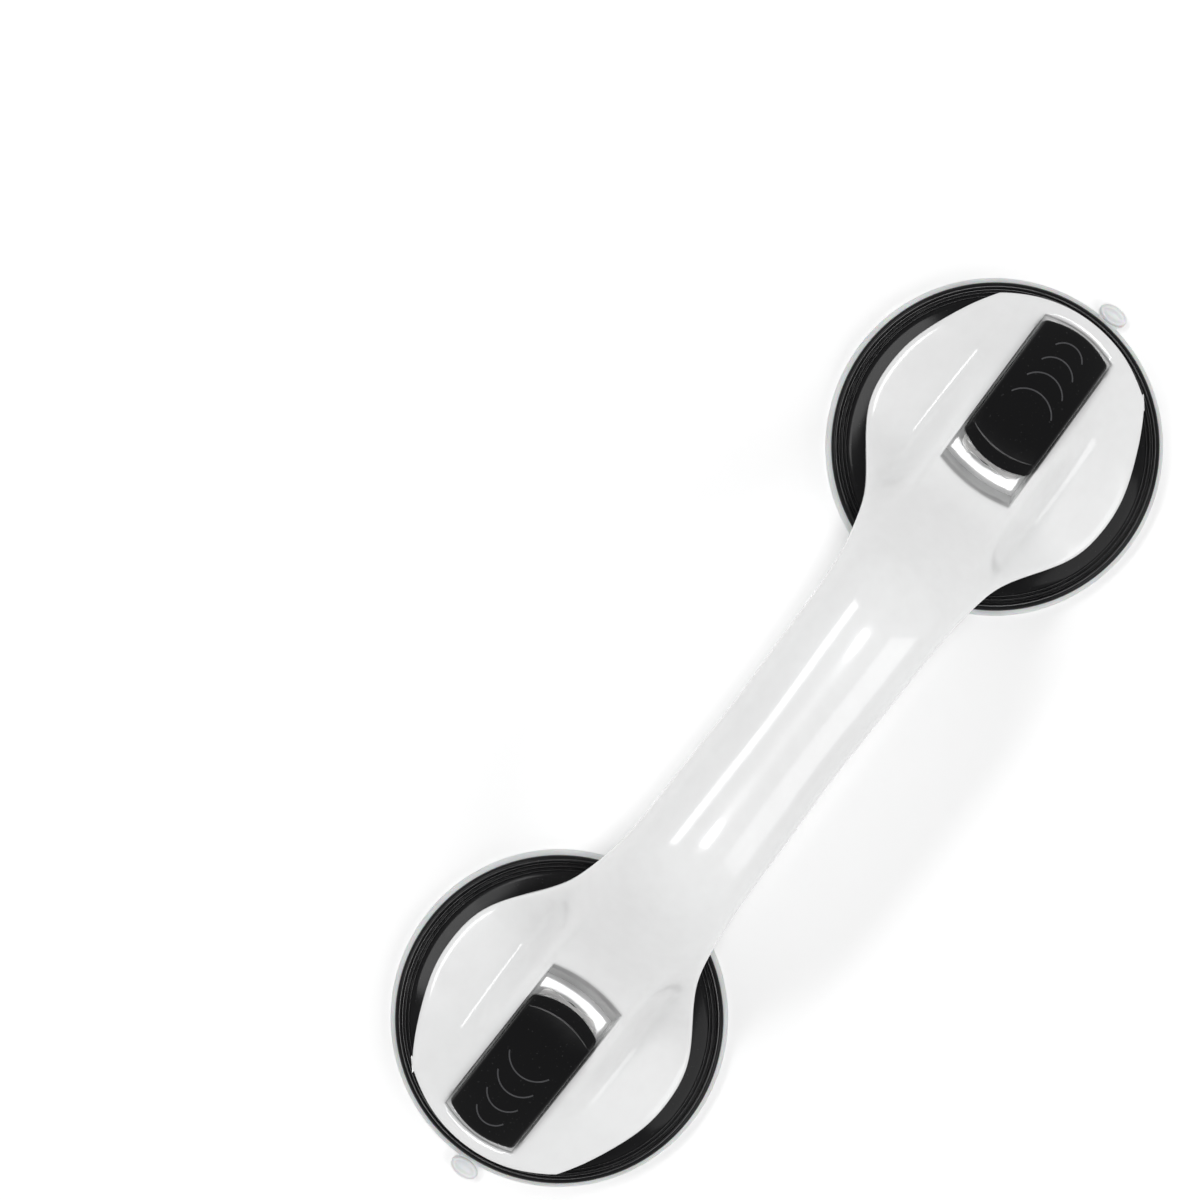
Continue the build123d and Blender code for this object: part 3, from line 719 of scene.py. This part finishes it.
# ---------------------------------------------------------------- suction heads
def make_suction_housings():
    """Black bowl of each head: hub, flat deck, domed skirt, two fine ridges and a thick rounded flange."""
    dome = Curve([(DECK_R, DECK_Z), (31.0, 10.35), (38.0, 8.95), (42.5, 7.6)])
    under = Curve([(DECK_R, DECK_FOOT_Z), (31.0, 8.1), (37.0, 6.6), (43.0, 4.4)])
    hub = [(BUSH_R, HUB_TOP_Z, 0), (HUB_R, HUB_TOP_Z, 0.3), (HUB_R, DECK_Z, 0.3)]
    profile = rounded_outline(hub, closed=False)
    profile += [(14.0, DECK_Z)]
    profile += [(r, dome(r)) for r in np.linspace(DECK_R, 42.5, 22)]
    for ridge_r, ridge_z in ((43.25, 7.25), (44.25, 7.05)):
        profile += arc((ridge_r, ridge_z), 0.3, 170, 10, 7)
        profile += arc((ridge_r + 0.5, ridge_z - 0.15), 0.16, 200, 340, 5)
    profile += [(44.98, 6.5), (45.05, 5.9)]
    profile += arc((45.2, 5.75), 0.15, 200, 340, 4)
    profile += arc((46.1, 4.65), 1.3, 140, -70, 22)
    profile += [(46.5, 2.6), (43.0, 2.6)]
    profile += [(r, under(r)) for r in np.linspace(43.0, DECK_R, 16)]
    profile += [(SPRING_WELL_R, DECK_FOOT_Z), (SPRING_WELL_R, SPRING_WELL_TOP_Z)]
    profile += [(BUSH_R, SPRING_WELL_TOP_Z)]
    housing = spun("suction_housing", profile, HOUSING_BLACK, steps=256)
    finish_pair(shade(housing, 35), "housing_bowl", "handle", "suction_housing")


def make_suction_pads():
    """Soft cup of each head: a ribbed rim with its release tab, and the thin middle that the stud lifts."""
    under = [(36.0, 0.0)]
    for groove_r in (38.0, 40.2, 42.4, 44.6):
        under += [(groove_r, 0.0), (groove_r + 0.15, 0.3), (groove_r + 0.65, 0.3), (groove_r + 0.8, 0.0)]
    lip = [(47.6, 0.0)] + arc((47.95, 0.85), 0.85, -85, 75, 12)
    top = [(47.2, 2.15), (46.4, 2.35), (43.0, 2.3), (41.5, 2.25), (38.7, 2.6), (36.0, 2.95)]
    rim = spun("pad_rim", under + lip + top, RUBBER, steps=256)
    combine(rim, make_release_tab(), "UNION")
    finish_pair(shade(rim, 35), "pad_rim", "handle", "suction_pad")

    swell = Curve([(15.2, 5.4), (20.0, 4.7), (28.0, 3.85), (PAD_MIDDLE_R, 2.9)])
    hollow = Curve([(0.0, 4.0), (10.0, 3.7), (19.0, 2.95), (28.0, 1.4), (PAD_MIDDLE_R, 0.0)])
    middle = [(r, hollow(r)) for r in np.linspace(0.0, PAD_MIDDLE_R, 28)]
    middle += [(r, swell(r)) for r in np.linspace(PAD_MIDDLE_R, 15.2, 18)]
    middle += [(14.3, 6.6), (13.8, 7.3), (13.2, 7.6), (11.1, 7.75), (11.1, 6.2), (0.0, 6.2)]
    diaphragm = spun("pad_middle", middle, RUBBER, steps=128)
    shade(diaphragm, 35)
    finish_pair(diaphragm, "pad_middle", "handle", "suction_pad", PAD_FLAT_SHARE)


def make_release_tab():
    """The tab that breaks the seal: an oval grip with a shallow dish, on a short neck from the rim."""
    layers = [(1.2, 0.35), (0.45, 0.4), (0.1, 0.8), (0.0, 1.3), (0.0, 1.9), (0.12, 2.4)]
    layers += [(0.5, 2.75), (0.9, 2.85), (1.25, 2.75), (1.6, 2.45), (2.1, 2.35)]
    sides = 64
    points = []
    for inside, z in layers:
        for i in range(sides):
            turn = 2 * math.pi * i / sides
            x = HEAD_X + TAB_X + (TAB_HALF_DEPTH - inside) * math.cos(turn)
            points.append((x, TAB_Y + (TAB_HALF_LENGTH - inside) * math.sin(turn), z))
    tab = loose_object("release_tab", points, capped_faces(len(layers), sides), RUBBER)
    neck_side = [(44.6, 0.45), (51.0, 0.45), (51.0, 1.95), (44.6, 1.95)]
    neck = extruded("tab_neck", neck_side, TAB_Y - TAB_NECK_HALF, TAB_Y + TAB_NECK_HALF, RUBBER)
    return combine(tab, neck, "UNION")


# ---------------------------------------------------------------- cam levers
def cam_point(angle):
    """A point of the lobe, from the head's centre: its reach falls evenly as the lever turns."""
    turn = math.radians(angle)
    rate = STROKE / math.radians(90)
    reach = CAM_LOCKED - CAM_GAP - rate * turn
    return (
        -reach * math.sin(turn) + rate * math.cos(turn),
        PIN_Z - reach * math.cos(turn) - rate * math.sin(turn),
    )


def lever_outline():
    """The lever's side view: bowed top, sloped heel, clear arc about the pin and flat foot at the tip."""
    crest = [(-6.0, 30.75), (-2.4, 30.4), (3.0, 29.55), (10.0, 27.75), (20.0, 24.55), (30.0, 20.8)]
    top = Curve(crest + [(LEVER_TIP_X, 16.7), (44.0, 14.5)])
    heel = [(2.0, top(2.0), 0), (-2.4, top(-2.4), 1.3), (LEVER_HEEL_X, 28.6, 0.7)]
    heel += [(LEVER_HEEL_X, PIN_Z, 0.6), (-4.5, PIN_Z - 1.2, 0)]
    tip = [(13.0, 15.2, 0), (LEVER_TIP_X, 12.0, 0.5), (LEVER_TIP_X, top(LEVER_TIP_X), 1.1)]
    tip += [(36.5, top(36.5), 0)]
    outline = [(x, top(x)) for x in np.linspace(36.5, 2.0, 20)]
    outline += rounded_outline(heel, False, 8)[1:]
    outline += arc((0, PIN_Z), 5.6, 215, 270, 7)
    outline += [(6.0, 17.5), (13.0, 15.2)]
    outline += rounded_outline(tip, False, 6)[1:-1]
    return outline


def lever_plan_block():
    """An upright block with the lever's plan, a little inside its skin, which trims the lobes to it."""
    inside = 0.2
    half = LEVER_HALF_WIDTH - inside
    heel_x, tip_x = HEAD_X + LEVER_HEEL_X + inside, HEAD_X + LEVER_TIP_X - inside
    ys = [half * i / 12 for i in range(-12, 13)]
    plan = [(heel_x + LEVER_HEEL_BOW * (y / half) ** 2, y) for y in reversed(ys)]
    plan += [(tip_x - LEVER_TIP_BOW * (y / half) ** 2, y) for y in ys]
    points = [(x, y, z) for z in (0, 40) for x, y in plan]
    return loose_object("lever_plan", points, capped_faces(2, len(plan)), LEVER_BLACK)


def lever_slices():
    """Places across the lever, each with how far its outline is drawn in by the rounded edge."""
    half = LEVER_HALF_WIDTH
    turns = np.radians(np.linspace(0, 90, 7))
    rounding = [(half - EDGE_R * (1 - math.sin(t)), EDGE_R * (1 - math.cos(t))) for t in turns]
    slices = [(-y, drop) for y, drop in reversed(rounding)]
    slices += [(y, 0.0) for y in np.linspace(-half + EDGE_R, half - EDGE_R, 15)[1:-1]]
    return slices + rounding


def make_cam_levers():
    """Flip lever of each head: a rounded paddle, hollow below, with lobes, a stud slot and a pin bore."""
    outline, slices = lever_outline(), lever_slices()
    half = LEVER_HALF_WIDTH
    points = []
    for y, drop in slices:
        for x, z in inset(outline, drop):
            share = (x - LEVER_HEEL_X) / (LEVER_TIP_X - LEVER_HEEL_X)
            bow = LEVER_HEEL_BOW * (1 - share) - LEVER_TIP_BOW * share
            points.append((HEAD_X + x + bow * (y / half) ** 2, y, z))
    lever = loose_object("cam_lever", points, capped_faces(len(slices), len(outline)), LEVER_BLACK)

    hollow = [(10, 5), (36.1, 5), (36.1, 15.6), (20, 21.9), (10, 24.9)]
    combine(lever, extruded("hollow", hollow, -half + 2, half - 2, LEVER_BLACK), "DIFFERENCE")
    rib = [(9.5, 18.0), (36.5, 14.0), (36.5, 16.6), (20, 23.0), (9.5, 26.0)]
    combine(lever, extruded("rib", rib, -RIB_HALF, RIB_HALF, LEVER_BLACK), "UNION")
    lobe = [cam_point(angle) for angle in range(0, 91, 5)]
    lobe += [(lobe[-1][0], PIN_Z + 1), (LOBE_FRONT_X, PIN_Z + 1), (LOBE_FRONT_X, lobe[0][1])]
    lobes = extruded("lobes", lobe, -LOBE_OUTER, LOBE_OUTER, LEVER_BLACK)
    combine(lobes, lever_plan_block(), "INTERSECT")
    combine(lever, lobes, "UNION")
    slot_top_z = PIN_Z + SLOT_RISE
    slot = [(-20, 0), (SLOT_FRONT_X, 0), (SLOT_FRONT_X, slot_top_z), (-20, slot_top_z)]
    combine(lever, extruded("slot", slot, -LOBE_INNER, LOBE_INNER, LEVER_BLACK), "DIFFERENCE")
    bore = arc((0, PIN_Z), PIN_BORE_R, 0, 360, 33)[:-1]
    bore_half = half - PIN_BORE_STOP
    combine(lever, extruded("bore", bore, -bore_half, bore_half, LEVER_BLACK), "DIFFERENCE")
    shade(lever, 32)
    ribs = make_chevrons(lever)
    finish_pair(lever, "lever_paddle", "lever", "cam_lever")
    finish_pair(ribs, "lever_chevrons", "lever", "cam_lever")


# ---------------------------------------------------------------- geometry nodes
class Graph:
    """One geometry node tree with named inputs."""

    def __init__(self, name, **inputs):
        self.tree = bpy.data.node_groups.new(name, "GeometryNodeTree")
        self.tree.interface.new_socket("Geometry", in_out="INPUT", socket_type="NodeSocketGeometry")
        self.tree.interface.new_socket("Geometry", in_out="OUTPUT", socket_type="NodeSocketGeometry")
        self.values = {}
        for label, (kind, value) in inputs.items():
            socket = self.tree.interface.new_socket(label, in_out="INPUT", socket_type=f"NodeSocket{kind}")
            self.values[socket.identifier] = value
        self.entry = self.tree.nodes.new("NodeGroupInput")
        self.exit = self.tree.nodes.new("NodeGroupOutput")

    def __getitem__(self, label):
        return self.entry.outputs[label]

    def node(self, kind, settings=None, **inputs):
        """Any node: its settings first, then values or links for its sockets, by name with _ for a space."""
        made = self.tree.nodes.new(kind)
        for key, value in (settings or {}).items():
            setattr(made, key, value)
        for key, value in inputs.items():
            plug(self.tree, value, made.inputs[key.replace("_", " ")])
        return made

    def maths(self, operation, first, second):
        node = self.node("ShaderNodeMath", {"operation": operation})
        plug(self.tree, first, node.inputs[0])
        plug(self.tree, second, node.inputs[1])
        return node.outputs[0]

    def run(self, piece, geometry, material):
        """Ends the tree, runs it on the piece and keeps the result as the piece's mesh."""
        real = self.node("GeometryNodeRealizeInstances", Geometry=geometry).outputs[0]
        painted = self.node("GeometryNodeSetMaterial", Geometry=real, Material=material).outputs[0]
        self.tree.links.new(painted, self.exit.inputs[0])
        modifier = piece.modifiers.new("graph", "NODES")
        modifier.node_group = self.tree
        for identifier, value in self.values.items():
            modifier[identifier] = value
        return bake_modifiers(piece)


def make_chevrons(lever):
    """Fine curved ribs across the lever's top, closer and smaller towards the tip, laid onto its surface."""
    graph = Graph(
        "curved_ribs",
        Count=("Int", 4),
        First=("Float", (HEAD_X + CHEVRON_FIRST_X) * MM),
        Pitch=("Float", 6.2 * MM),
        Closing=("Float", 0.15 * MM),
        Bend=("Float", 7.9 * MM),
        Shrink=("Float", 0.11),
        Rib=("Float", 0.24 * MM),
        Surface=("Object", lever),
    )
    line = graph.node("GeometryNodeMeshLine", Count=graph["Count"], Offset=(0, 0, 0))
    index = graph.node("GeometryNodeInputIndex").outputs[0]
    square = graph.maths("MULTIPLY", index, index)
    along = graph.maths("MULTIPLY", index, graph["Pitch"])
    along = graph.maths("SUBTRACT", along, graph.maths("MULTIPLY", square, graph["Closing"]))
    along = graph.maths("ADD", along, graph["First"])
    place = graph.node("ShaderNodeCombineXYZ", X=along, Z=0.05)
    spots = graph.node("GeometryNodeSetPosition", Geometry=line.outputs[0], Position=place.outputs[0])
    bend = graph.node(
        "GeometryNodeCurveArc",
        Resolution=40,
        Radius=graph["Bend"],
        Start_Angle=-CHEVRON_HALF_SWEEP,
        Sweep_Angle=2 * CHEVRON_HALF_SWEEP,
    )
    back = graph.node("ShaderNodeCombineXYZ", X=graph.maths("MULTIPLY", graph["Bend"], -1.0))
    apex = graph.node("GeometryNodeTransform", Geometry=bend.outputs[0], Translation=back.outputs[0])
    size = graph.maths("SUBTRACT", 1.0, graph.maths("MULTIPLY", index, graph["Shrink"]))
    rows = graph.node("GeometryNodeInstanceOnPoints", Points=spots.outputs[0], Scale=size)
    graph.tree.links.new(apex.outputs[0], rows.inputs["Instance"])
    curves = graph.node("GeometryNodeRealizeInstances", Geometry=rows.outputs[0])
    target = graph.node("GeometryNodeObjectInfo", {"transform_space": "RELATIVE"}, Object=graph["Surface"])
    drop = graph.node(
        "GeometryNodeRaycast",
        Target_Geometry=target.outputs["Geometry"],
        Ray_Direction=(0, 0, -1),
        Ray_Length=0.1,
    )
    laid = graph.node("GeometryNodeSetPosition", Geometry=curves.outputs[0], Position=drop.outputs[1])
    ring = graph.node("GeometryNodeCurvePrimitiveCircle", Resolution=10, Radius=graph["Rib"])
    tube = graph.node("GeometryNodeCurveToMesh", Curve=laid.outputs[0], Fill_Caps=True)
    graph.tree.links.new(ring.outputs["Curve"], tube.inputs["Profile Curve"])
    ribs = bpy.data.objects.new("lever_chevrons", bpy.data.meshes.new("lever_chevrons"))
    bpy.context.scene.collection.objects.link(ribs)
    # The ribs are drawn in the lighter black, a painted highlight along their edges.
    return shade(graph.run(ribs, tube.outputs[0], RIB_BLACK_PAINTED_HIGHLIGHT), 60)


def make_screw(name, length):
    """A pan-head screw pointing up from z = 0: domed head with a cross recess, thread grooves and a tip."""
    root_r = SCREW_R - THREAD_DEPTH
    profile = [(0.0, -1.6)] + arc((SCREW_HEAD_R - 0.7, -0.9), 0.7, -90, 0, 6)
    profile += [(SCREW_HEAD_R, 0.0), (SCREW_R, 0.0)]
    z = THREAD_PITCH
    while z < length - 1.4:
        profile += [(root_r, z), (SCREW_R, z + THREAD_PITCH / 2)]
        z += THREAD_PITCH
    profile += [(root_r, z), (0.4, length - 0.1), (0.0, length)]
    screw = spun(name, profile, ZINC, steps=32, centre_x=0)
    for long, short in ((1.5, 0.35), (0.35, 1.5)):
        recess = [(-long, -2.0), (long, -2.0), (long * 0.8, -0.8), (-long * 0.8, -0.8)]
        combine(screw, extruded("recess", recess, -short, short, ZINC, head_x=False), "DIFFERENCE")
    return shade(screw, 35)


def place_screws(name, screw, spots):
    """The same screw at every spot, each turned its own way."""
    graph = Graph("screws", Screw=("Object", screw), Seed=("Int", 7))
    source = graph.node("GeometryNodeObjectInfo", Object=graph["Screw"])
    turn = graph.node("FunctionNodeRandomValue", {"data_type": "FLOAT_VECTOR"}, Seed=graph["Seed"])
    turn.inputs["Min"].default_value = (0, 0, 0)
    turn.inputs["Max"].default_value = (0, 0, math.pi / 2)
    points = graph.node("GeometryNodeMeshToPoints", Mesh=graph["Geometry"])
    rows = graph.node("GeometryNodeInstanceOnPoints", Points=points.outputs[0], Rotation=turn.outputs[0])
    graph.tree.links.new(source.outputs["Geometry"], rows.inputs["Instance"])
    mesh = bpy.data.meshes.new(name)
    mesh.from_pydata([tuple(c * MM for c in spot) for spot in spots], [], [])
    piece = bpy.data.objects.new(name, mesh)
    bpy.context.scene.collection.objects.link(piece)
    graph.run(piece, rows.outputs[0], ZINC)
    bpy.data.objects.remove(screw)
    return shade(piece, 35)


def make_screws():
    """The screws of the grip's cover, seen from below, and those inside the cups."""
    spots = [(x, 0, BELLY(0) + RECESS_DEPTH) for x in COVER_SCREW_X]
    cover = place_screws("cover_screws_set", make_screw("cover_screw", 17.0), spots)
    finish_piece(cover, "handle", ["cover_screws"])
    ways = (-SCREW_PITCH, SCREW_PITCH)
    spots = [(HEAD_X + i, j, DECK_FOOT_Z) for i in ways for j in ways]
    inside = place_screws("housing_screws", make_screw("housing_screw", 8.0), spots)
    finish_pair(inside, "housing_screw_set", "handle", "housing_screws")


make_handle_shell()
make_grip_cover()
make_suction_housings()
make_suction_pads()
make_cam_levers()
make_screws()

# ---------------------------------------------------------------- CAD pieces that keep their shape
for side in SIDES:
    for node, material in (
        ("draw_stud", TURNED),
        ("lever_pin", TURNED),
        ("cam_plate", STAMPED),
        ("guide_bush", NYLON),
        ("pad_core", NYLON),
        ("return_spring", WIRE),
    ):
        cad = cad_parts[f"{node}_{side}"]
        cad.data.materials.clear()
        cad.data.materials.append(material)

# ---------------------------------------------------------------- floor, light and camera
FLOOR_SIZE = 6.0


def make_floor():
    mesh = bpy.data.meshes.new("floor")
    half = FLOOR_SIZE / 2
    corners = [(-half, -half, 0), (half, -half, 0), (half, half, 0), (-half, half, 0)]
    mesh.from_pydata(corners, [], [(0, 1, 2, 3)])
    mesh.materials.append(floor_paint())
    floor = bpy.data.objects.new("floor", mesh)
    bpy.context.scene.collection.objects.link(floor)
    floor.location.z = -0.0002


# The camera looks straight down, turned so that the bar runs up to the right.
BAR_TURN = math.radians(52.71)
VIEW_RIGHT = Vector((math.cos(BAR_TURN), -math.sin(BAR_TURN), 0))
VIEW_UP = Vector((math.sin(BAR_TURN), math.cos(BAR_TURN), 0))
CAMERA_DISTANCE = 1.3
VIEW_WIDTH = 0.346  # seen across the frame at the height of the housings' rims
RIM_HEIGHT = 0.005


def make_camera():
    data = bpy.data.cameras.new("camera")
    camera = bpy.data.objects.new("camera", data)
    bpy.context.scene.collection.objects.link(camera)
    data.sensor_width = 36.0
    data.lens = data.sensor_width * CAMERA_DISTANCE / VIEW_WIDTH
    data.clip_start = 0.05
    data.clip_end = 20
    turn = Matrix((VIEW_RIGHT, VIEW_UP, Vector((0, 0, 1)))).transposed()
    camera.matrix_world = Matrix.Translation((-0.0005, 0.0639, RIM_HEIGHT + CAMERA_DISTANCE)) @ turn.to_4x4()
    bpy.context.scene.camera = camera


def make_light(name, direction, distance, size, power, aim=(0, 0, 0.02)):
    """A soft rectangular light, its direction given as right and up in the view, and height."""
    data = bpy.data.lights.new(name, "AREA")
    data.shape = "RECTANGLE"
    data.size, data.size_y = size
    data.energy = power
    light = bpy.data.objects.new(name, data)
    bpy.context.scene.collection.objects.link(light)
    offset = VIEW_RIGHT * direction[0] + VIEW_UP * direction[1] + Vector((0, 0, direction[2]))
    light.location = Vector(aim) + offset.normalized() * distance
    light.rotation_mode = "QUATERNION"
    light.rotation_quaternion = (Vector(aim) - light.location).to_track_quat("-Z", "Y")


def make_world(overhead, horizon):
    """A studio that is dark overhead and bright all round at the height of the table."""
    world = bpy.data.worlds.new("studio")
    bpy.context.scene.world = world
    world.use_nodes = True
    tree = world.node_tree
    background = tree.nodes["Background"]
    split = tree.nodes.new("ShaderNodeSeparateXYZ")
    tree.links.new(tree.nodes.new("ShaderNodeTexCoord").outputs["Generated"], split.inputs["Vector"])
    height = Field(tree, split.outputs["Z"])
    background.inputs["Color"].default_value = (1, 1, 1, 1)
    plug(tree, horizon - height.between(0.0, 1.0) * (horizon - overhead), background.inputs["Strength"])


make_floor()
make_camera()
make_light("key", (-0.556, 0.424, 1.0), 1.6, (1.4, 0.3), 8)
make_light("fill", (0.95, -0.6, 0.9), 1.8, (1.2, 1.2), 9)
make_light("upper_end", (0.12, 0.158, 1.0), 1.7, (0.3, 0.3), 6)
make_light("lower_end", (-0.12, -0.158, 1.0), 1.7, (0.3, 0.3), 6)
make_world(0.2, 0.65)
bpy.context.scene.view_settings.view_transform = "Standard"
